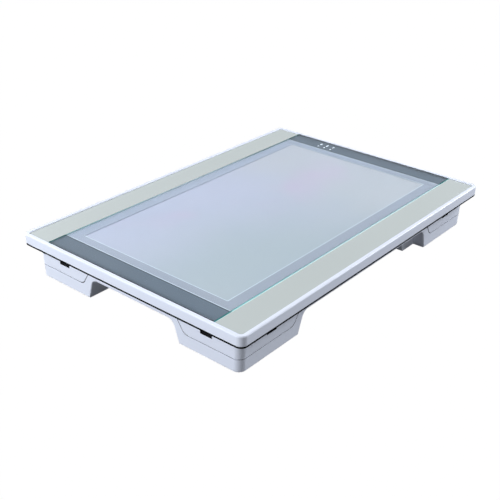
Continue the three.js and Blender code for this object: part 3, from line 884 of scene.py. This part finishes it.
def make_glass():
    """A plate with polished edges: clear faces, a bright upright edge and a green chamfer."""
    def ring(inset, z):
        return level(centred(GLASS_HIGH.x - inset, GLASS_HIGH.y - inset, GLASS_CORNER, 5), z)

    low, high, polish = GLASS_LOW.z, GLASS_HIGH.z, GLASS_POLISH
    rings = [ring(polish, low), ring(0, low + polish), ring(0, high - polish), ring(polish, high)]
    piece = finished(loft("glass_plate_top", rings), glass_face(), "clear_glass", "glass_plate")
    piece.visible_shadow = False
    piece.data.materials.append(glass_edge("glass_edge", True))
    piece.data.materials.append(glass_edge("glass_chamfer", False))
    for face in piece.data.polygons:
        if abs(face.normal.x) > 0.9:
            face.material_index = 1
        elif abs(face.normal.x) > 0.3:
            face.material_index = 2


def make_key_lens(number, material):
    """A small window with a slightly domed top."""
    low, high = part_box(f"key_lens_{number}")
    at, radius = (low + high) / 2, (high.x - low.x) / 2
    dome = 0.15 * MM
    profile = [(0, low.z), (radius, low.z), (radius, high.z - dome), (radius * 0.85, high.z - dome * 0.3),
               (0, high.z)]
    window = turned(f"key_window_{number}", at.x, at.y, profile)
    finished(window, material, "opal_sheet", f"key_lens_{number}")


def mark_shape(number):
    """The outline of a key's mark, about its own middle: a small lamp, a long dash and a hook."""
    if number == 1:
        lamp = arc(0, 1.3 * MM, 1.7 * MM, -50, 230, 14)
        return [lamp + [(-0.8 * MM, -3.0 * MM), (0.8 * MM, -3.0 * MM)]]
    if number == 2:
        return [rounded(-1.1 * MM, -3.2 * MM, 1.1 * MM, 3.2 * MM, 0.8 * MM, 4)]
    hook = arc(0, 1.2 * MM, 1.8 * MM, -40, 200, 16) + arc(0, 1.2 * MM, 0.7 * MM, 200, -40, 16)
    return [hook, rounded(-0.7 * MM, -3.2 * MM, 0.7 * MM, -0.9 * MM, 0.4 * MM, 4)]


def make_key_mark(number, material):
    """A printed mark on the underside of the glass, behind the key's window."""
    at = middle(f"key_lens_{number}")
    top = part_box("band_film_rear")[1].z
    x, y = at.x, at.y + KEY_MARK_SETBACK
    parts = [prism("mark", [(x + u, y + v) for u, v in outline], top + 0.02 * MM, top + 0.06 * MM)
             for outline in mark_shape(number)]
    finished(join_pieces(f"key_mark_{number}", parts), material, "opal_sheet")


# -------- base cover
def case_ring(inset, z):
    shrink = (CASE_HIGH.z - z) * DRAFT
    half_x = (CASE_HIGH.x - inset) * (1 - shrink / CASE_HIGH.x)
    half_y = (CASE_HIGH.y - inset) * (1 - shrink / CASE_HIGH.y)
    return level(centred(half_x, half_y, max(CASE_RADIUS - inset, MM), 14), z)


def case_block(name, inset, low, high):
    return loft(name, [case_ring(inset, low), case_ring(inset, high)])


def arch_outline(half, grow):
    low, top = -5 * MM, TRAY_BOTTOM + grow
    wide = half + grow + (CASE_LOW.z - low) * ARCH_SLOPE
    narrow = half + grow - (top - CASE_LOW.z) * ARCH_SLOPE
    return fillet_outline([(-wide, low, 0), (wide, low, 0), (narrow, top, ARCH_FILLET),
                           (-narrow, top, ARCH_FILLET)])


def mouth(side, place, slant, half, grow, lip):
    """The rings of a tunnel's end, from outside in; the opening is rounded outwards by lip."""
    turns = [radians(90 * i / LIP_STEPS) for i in range(LIP_STEPS + 1)] if lip else []
    steps = [(-5 * MM, lip)] + [(lip * (1 - cos(t)), lip * (1 - sin(t))) for t in turns]
    rings = []
    for depth, extra in steps:
        outline = arch_outline(half, grow + extra)
        rings.append([(u, v, side * (place - slant * (CASE_HIGH.z - v) - depth)) for u, v in outline])
    return rings


def tunnel(name, plane, rings):
    """A solid through rings of (across, height, along) points."""
    return loft(name, [[PLANES[plane](*point) for point in ring] for ring in rings])


def arch_tool(grow, lip=0.0):
    """What is cut away between the feet: two tunnels, and a wider step on each long side."""
    step = CASE_HIGH.x - SIDE_STEP - grow
    ends = [mouth(side, CASE_HIGH.y, DRAFT, ARCH_X, grow, lip) for side in (-1, 1)]
    inner = [mouth(side, step, 0, ARCH_INNER_Y, grow, lip) for side in (-1, 1)]
    others = [tunnel("side_arch", "YZ", inner[0] + inner[1][::-1])]
    for side in (-1, 1):
        stop = [(u, v, side * step) for u, v in arch_outline(ARCH_Y, grow)]
        others.append(tunnel("side_step", "YZ", mouth(side, CASE_HIGH.x, DRAFT, ARCH_Y, grow, lip) + [stop]))
    return boolean(tunnel("end_arch", "XZ", ends[0] + ends[1][::-1]), others, "UNION")


def cover_region(sx, sy, grow):
    """The part of a corner above the seam."""
    low, above, far = SEAM - grow, 5 * MM, 0.4

    def profile(end, side):
        foot = end + (CASE_HIGH.z - low) * SEAM_SLANT - grow
        head = end - above * SEAM_SLANT - grow
        high = CASE_HIGH.z + above
        turns = [(foot, low, COVER_FILLET), (far, low, 0), (far, high, 0), (head, high, 0)]
        return fillet_outline([(side * u, v, r) for u, v, r in turns])

    on_end = prism("region", profile(COVER_X, sx), -far, far, "XZ")
    on_side = prism("region_side", profile(COVER_Y, sy), -far, far, "YZ")
    return boolean(on_end, [on_side], "INTERSECT")


def notch_boxes(sx, sy):
    """The slot on the end and the slot on the side of one corner."""
    half, proud = NOTCH_WIDTH / 2, 4 * MM

    def span(side, half_case):
        return sorted((side * (half_case - NOTCH_DEPTH), side * (half_case + proud)))

    (y0, y1), (x0, x1) = span(sy, CASE_HIGH.y), span(sx, CASE_HIGH.x)
    return [
        box_piece("notch", (sx * NOTCH_X - half, y0, NOTCH_LOW), (sx * NOTCH_X + half, y1, NOTCH_HIGH)),
        box_piece("notch_side", (x0, sy * NOTCH_Y - half, NOTCH_LOW), (x1, sy * NOTCH_Y + half, NOTCH_HIGH)),
    ]


def pad_outline(sx, sy, grow):
    low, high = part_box(next(f"foot_pad_{w}" for w, a, b in CORNERS if (a, b) == (sx, sy)))
    return rounded(low.x - grow, low.y - grow, high.x + grow, high.y + grow, (high.y - low.y) / 2 - MM + grow)


def off_case(co):
    """How far a point lies outside the drafted outer face of the case."""
    shrink = (CASE_HIGH.z - co.z) * DRAFT
    qx = abs(co.x) - (CASE_HIGH.x - shrink - CASE_RADIUS)
    qy = abs(co.y) - (CASE_HIGH.y - shrink - CASE_RADIUS)
    return hypot(max(qx, 0), max(qy, 0)) + min(max(qx, qy), 0) - CASE_RADIUS


def ease_cuts(piece, width):
    """Rounds the sharp edges that a cut has left on the outer face of the case."""
    skin = 0.06 * MM
    with editing(piece.data) as work:
        cuts = [e for e in work.edges
                if len(e.link_faces) == 2 and all(abs(off_case(v.co)) < skin for v in e.verts)
                and e.calc_face_angle() > radians(50) and e.verts[0].co.z < NOTCH_HIGH]
        bmesh.ops.bevel(work, geom=cuts, offset=width, offset_type="OFFSET", segments=BEVEL_SEGMENTS,
                        profile=0.5, affect="EDGES", clamp_overlap=True)


def in_cover(co):
    """Whether a point lies above the seam of a corner cover."""
    start = (CASE_HIGH.z - co.z) * SEAM_SLANT - 1.5 * SEAM_GAP
    return co.z > SEAM - 1.5 * SEAM_GAP and abs(co.x) > COVER_X + start and abs(co.y) > COVER_Y + start


def shade_recesses(piece):
    """Paints shade on what lies inside the seams and slots by giving those faces a near-black material."""
    piece.data.materials.append(painted_recess_shade())
    for face in piece.data.polygons:
        depth = -off_case(face.center)
        if in_cover(face.center) and 0.08 * MM < depth < CASE_WALL + 0.3 * MM:
            face.material_index = 1


def case_body():
    """The block of the base: a rounded underside, arches between the feet, and a hollow inside."""
    turns = [radians(90 * i / LIP_STEPS) for i in range(LIP_STEPS)]
    foot = [case_ring(BASE_ROUND * (1 - sin(t)), CASE_LOW.z + BASE_ROUND * (1 - cos(t))) for t in turns]
    body = loft("white_base", foot + [case_ring(0, CASE_LOW.z + BASE_ROUND), case_ring(0, CASE_HIGH.z)])
    boolean(body, [arch_tool(0, BASE_ROUND)])
    merge_flat(body)
    inside = case_block("inside", CASE_WALL, CASE_LOW.z + CASE_FLOOR, CASE_HIGH.z + MM)
    boolean(inside, [arch_tool(TRAY_FLOOR)])
    return boolean(body, [inside])


def cut_corners(body):
    """Makes room at each corner for the cover, the foot pad and the two slots."""
    for _, sx, sy in CORNERS:
        skin = case_block("skin", -MM, 0, CASE_HIGH.z + 2 * MM)
        boolean(skin, [case_block("core", COVER_THICK + GAP, -MM, CASE_HIGH.z + 3 * MM)])
        boolean(skin, [cover_region(sx, sy, SEAM_GAP)], "INTERSECT")
        pad = prism("pad_seat", pad_outline(sx, sy, GAP), -MM, CASE_LOW.z + PAD_RECESS)
        boolean(body, [skin, pad, *notch_boxes(sx, sy)])


def add_posts(body, cases, boards):
    """A well and a post for each case screw, and a post for each board screw."""
    wells = [cylinder("well", p.x, p.y, CASE_LOW.z + MM, WELL_SEAT + CASE_FLOOR, WELL + WELL_WALL, 40)
             for p in cases]
    boolean(body, [join_pieces("wells", wells)], "UNION")
    posts = [cylinder("post", p.x, p.y, WELL_SEAT, CASE_HIGH.z, POST, 40) for p in cases]
    posts += [cylinder("board_post", p.x, p.y, TRAY_BOTTOM + MM, BOARD_BOTTOM - 0.1 * MM, BOARD_POST)
              for p in boards]
    boolean(body, [join_pieces("posts", posts)], "UNION")


def bore_posts(body, cases, boards):
    """The flared bore that each case screw's head goes up, and the holes for all the shanks."""
    low, wide = CASE_LOW.z, WELL + WELL_FLARE
    flare = [(0, -MM), (wide, -MM), (wide, low), (WELL, low + WELL_FLARE), (WELL, WELL_SEAT), (0, WELL_SEAT)]
    boolean(body, [join_pieces("bores", [turned("bore", p.x, p.y, flare, 40) for p in cases])])
    holes = [cylinder("hole", p.x, p.y, WELL_SEAT - MM, CASE_HIGH.z + MM, SHANK_HOLE) for p in cases]
    holes += [cylinder("hole", p.x, p.y, TRAY_BOTTOM + 1.4 * MM, BOARD_BOTTOM, PILOT_HOLE) for p in boards]
    boolean(body, [join_pieces("holes", holes)])


def make_base_cover():
    """The moulded base, with seats for the covers, pads, screws, board and inlet."""
    body = case_body()
    cut_corners(body)
    cases, boards = ([middle(screw) for screw in screws(kind)] for kind in ("case", "board"))
    add_posts(body, cases, boards)
    bore_posts(body, cases, boards)
    low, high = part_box("dc_inlet")
    opening = box_piece("mouth", low - Vector((GAP, GAP, GAP)), high + Vector((GAP, 5 * MM, GAP)))
    boolean(body, [opening])
    merge_flat(body)
    ease_cuts(body, SEAM_EASE)
    finished(body, white_plastic(), "white_plastic", "base_cover")
    shade_recesses(body)


def cover_shell():
    """The shell over the rear right corner, with its seam edge eased and its two slots."""
    shell = case_block("cover_shell", 0, 0, CASE_HIGH.z - 0.2 * MM)
    boolean(shell, [case_block("core", COVER_THICK, -MM, CASE_HIGH.z + 3 * MM)])
    boolean(shell, [cover_region(1, 1, 0)], "INTERSECT")
    boolean(shell, notch_boxes(1, 1))
    merge_flat(shell)
    bevel(shell, SEAM_EASE)
    return shell


def make_corner_covers(material):
    """Four covers from one shell, flipped to each corner."""
    shell = cover_shell()
    faces = [list(face.vertices) for face in shell.data.polygons]
    for word, sx, sy in CORNERS:
        points = [(v.co.x * sx, v.co.y * sy, v.co.z) for v in shell.data.vertices]
        skin = piece_from(f"white_cover_{word}", points, faces)
        finished(skin, material, "white_plastic", f"corner_cover_{word}", sharp=50)
        shade_recesses(skin)
    bpy.data.objects.remove(shell)


def make_catch(node, material):
    """A latch catch: the plug in the slot and the flange behind the wall, with eased edges."""
    low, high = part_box(node)
    axis = 1 if node.endswith("_end") else 0
    outward = 1 if (low + high)[axis] > 0 else -1
    inner = low[axis] if outward > 0 else high[axis]
    outer = high[axis] if outward > 0 else low[axis]
    seat = inner + outward * CATCH_THICK

    def part(name, near, far, trim):
        a, b = Vector(low), Vector(high)
        a[axis], b[axis] = sorted((near, far))
        a[1 - axis] += trim
        b[1 - axis] -= trim
        a.z += trim
        b.z -= trim
        return box_piece(name, a, b)

    piece = part(f"black_{node}", inner, seat, 0)
    boolean(piece, [part("plug", seat - outward * CATCH_REACH, outer, CATCH_FLANGE + GAP)], "UNION")
    merge_flat(piece)
    bevel(piece, CATCH_EASE)
    finished(piece, material, "black_plastic", node)


def make_foot_pad(word, sx, sy, material):
    """A rubber pad with rounded edges and shallow grooves across its underside."""
    low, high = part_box(f"foot_pad_{word}")
    steps = [(inset, low.z + rise) for inset, rise in eased(PAD_SOFT)] + [(0, high.z)]
    piece = loft(f"rubber_pad_{word}", [level(pad_outline(sx, sy, -inset), z) for inset, z in steps])
    count = int((high.x - low.x) / GROOVE_PITCH) - 1
    start = (low.x + high.x) / 2 - (count - 1) * GROOVE_PITCH / 2
    grooves = []
    for x in (start + i * GROOVE_PITCH for i in range(count)):
        near = (x - GROOVE_HALF, low.y + GROOVE_END, low.z - MM)
        grooves.append(box_piece("groove", near, (x + GROOVE_HALF, high.y - GROOVE_END, low.z + 0.5 * MM)))
    boolean(piece, [join_pieces("grooves", grooves)])
    finished(piece, material, "black_rubber", f"foot_pad_{word}")


def make_inlet():
    """The low-voltage inlet: a block with a flared bore and a pin with a rounded tip."""
    low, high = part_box("dc_inlet")
    at = middle("dc_inlet")
    block = box_piece("inlet_block", low, high)
    bevel(block, INLET_EASE)

    def along_y(piece):
        turn = Matrix.Rotation(radians(-90), 4, "X")
        piece.data.transform(Matrix.Translation((at.x, 0, at.z)) @ turn)
        return piece

    floor, wide = high.y - INLET_DEPTH, INLET_BORE + INLET_FLARE
    hole = [(0, floor), (INLET_BORE, floor), (INLET_BORE, high.y - INLET_FLARE), (wide, high.y),
            (wide, high.y + MM), (0, high.y + MM)]
    boolean(block, [along_y(turned("bore", 0, 0, hole, 40))])
    tip = floor + PIN_LENGTH
    stem = [(0, floor - MM), (PIN, floor - MM), (PIN, tip - 0.5 * MM), (PIN * 0.7, tip - 0.12 * MM), (0, tip)]
    boolean(block, [along_y(turned("pin", 0, 0, stem, 24))], "UNION")
    block.name = "inlet_socket"
    finished(block, black_plastic(), "black_plastic", "dc_inlet")
    block.data.materials.append(steel())
    for face in block.data.polygons:
        away = hypot(face.center.x - at.x, face.center.z - at.z)
        if away < PIN * 1.1 and face.center.y > floor + 0.05 * MM:
            face.material_index = 1


# -------- screws
def make_screw(node, up, material):
    """A pan-head screw with a cross recess and a ridged shank; up is 1 where the head is on top."""
    low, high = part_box(node)
    at = middle(node)
    head_radius = (high.x - low.x) / 2
    head, radius = SCREW_SIZES[node.split("_")[0]]
    length = high.z - low.z - head
    dome = head * 0.45
    profile = [(0, head), (head_radius * 0.55, head - dome * 0.12), (head_radius * 0.85, head - dome * 0.5),
               (head_radius, head - dome), (head_radius, 0), (radius, 0)]
    z = -0.5 * MM
    while z > THREAD_PITCH - length + MM:
        profile += [(radius, z), (radius * 0.8, z - THREAD_PITCH / 2)]
        z -= THREAD_PITCH
    profile += [(radius * 0.8, MM - length), (0, -length)]
    piece = turned(f"steel_{node}", 0, 0, list(reversed(profile)), 28)
    half, deep = head_radius * 0.55, head * 0.6
    for name, dx, dy in (("cross", half, half * 0.26), ("cross_turned", half * 0.26, half)):
        boolean(piece, [box_piece(name, (-dx, -dy, head - deep), (dx, dy, head + MM))])
    seat = high.z - head if up > 0 else low.z + head
    turn = Matrix.Identity(4) if up > 0 else Matrix.Rotation(pi, 4, "X")
    piece.data.transform(Matrix.Translation((at.x, at.y, seat)) @ turn)
    finished(piece, material, "steel", node)


# -------- parts kept from the model
def paint(finish, *nodes):
    """Gives CAD pieces the finish that a function makes; its name is the slot's name too."""
    material = finish()
    for node in nodes:
        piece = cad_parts[node]
        piece.data.materials.clear()
        piece.data.materials.append(material)


def paint_kept_parts():
    paint(band_ink, "band_film_front", "band_film_rear")
    paint(border_ink, "border_film")
    paint(opal_sheet, "diffuser_sheet")
    paint(clear_acrylic, "light_guide")
    paint(white_film, "reflector_sheet")
    paint(aluminium, "back_plate", "led_rail_left", "led_rail_right")
    paint(circuit_board, "control_board", "touch_board")
    paint(white_board, "led_strip_left", "led_strip_right")
    paint(wire, "led_lead_left", "led_lead_right")
    paint(ribbon, "ribbon_cable")


# -------- floor, lights and world
LAMP_AIM = Vector((0, 0, 0.03))
LAMP_COLOUR = (0.96, 1.0, 1.05)
# Each lamp's name, place, size and power.
LAMPS = (
    ("key", (-0.9, -1.8, 0.95), (1.2, 0.9), 43.1),
    ("rear", (1.1, 2.1, 1.05), (1.2, 0.8), 70),
    ("left", (-2.8, 0.2, 1.4), (1.2, 1.2), 43.3),
    ("front_right", (2.0, -1.6, 0.6), (1.2, 0.8), 5),
)
WORLD_COLOUR = (0.97, 1.0, 1.04, 1.0)
WORLD_STRENGTH = 0.27
FLOOR_GREY = (0.1, 0.1, 0.1, 1.0)
FLOOR_SHADE = (0.099, 0.099, 0.099, 1.0)
FLOOR_REACH, BOUNCE_REACH = 12, 6


def area_light(name, place, size, power):
    data = bpy.data.lights.new(name, "AREA")
    data.shape = "RECTANGLE"
    data.size, data.size_y = size
    data.energy = power
    data.color = LAMP_COLOUR
    light = link(name, data)
    light.location = place
    light.rotation_euler = (LAMP_AIM - Vector(place)).to_track_quat("-Z", "Y").to_euler()
    return light


def make_lights():
    """Soft light from the front and the rear right, with a little from the left and the front right.

    The lamps are flagged off the glass, so their own mirror images don't hide what lies under it.
    """
    flag = bpy.data.collections.new("no_lamp_glare")
    flag.objects.link(bpy.data.objects["glass_plate_top"])
    flag.collection_objects[0].light_linking.link_state = "EXCLUDE"
    for lamp in [area_light(*lamp) for lamp in LAMPS]:
        lamp.light_linking.receiver_collection = flag
    world = bpy.data.worlds.new("world")
    world.use_nodes = True
    background = world.node_tree.nodes["Background"]
    feed(background, Color=WORLD_COLOUR, Strength=WORLD_STRENGTH)
    bpy.context.scene.world = world


def floor_plane(name, size, glow, wall=0):
    """A square floor, with a wall round it where wall is its height."""
    square = [(-size, -size), (size, -size), (size, size), (-size, size)]
    points, faces = [(x, y, 0) for x, y in square], [(0, 1, 2, 3)]
    if wall:
        points += [(x, y, wall) for x, y in square]
        faces += [(i, (i + 1) % 4, (i + 1) % 4 + 4, i + 4) for i in range(4)]
    floor = piece_from(name, points, faces)
    made, tree, shader = new_material(name)
    feed(shader, Base_Color=mix(clouds(tree, 3), FLOOR_GREY, FLOOR_SHADE), Roughness=0.9)
    feed(shader, Specular_IOR_Level=0.0, Emission_Color=(1, 1, 1, 1), Emission_Strength=glow)
    floor.data.materials.append(made)
    return floor


def make_floor():
    """The floor that is seen glows white and lights nothing; the one that lights the underside isn't seen."""
    seen = floor_plane("floor", FLOOR_REACH, 1.0, wall=FLOOR_REACH)
    felt = floor_plane("floor_light", BOUNCE_REACH, 0.0)
    seen.visible_diffuse = False
    seen.visible_glossy = False
    seen.visible_transmission = False
    seen.visible_shadow = False
    felt.visible_camera = False


def build():
    make_top_frame()
    make_gasket()
    panel = grey_panel()
    for word, side in SIDES:
        make_side_panel(word, side, panel)
    make_glass()
    print_white = key_white()
    for number in (1, 2, 3):
        make_key_lens(number, print_white)
        make_key_mark(number, print_white)
    make_base_cover()
    white, black, rubber = white_plastic(), black_plastic(), black_rubber()
    make_corner_covers(white)
    for word, sx, sy in CORNERS:
        make_catch(f"latch_catch_{word}_end", black)
        make_catch(f"latch_catch_{word}_side", black)
        make_foot_pad(word, sx, sy, rubber)
    make_inlet()
    metal = steel()
    for kind, up in (("case", -1), ("plate", -1), ("board", 1)):
        for screw in screws(kind):
            make_screw(screw, up, metal)
    paint_kept_parts()


bpy.context.scene.view_settings.view_transform = "Standard"
build()
make_floor()
make_lights()
make_camera()
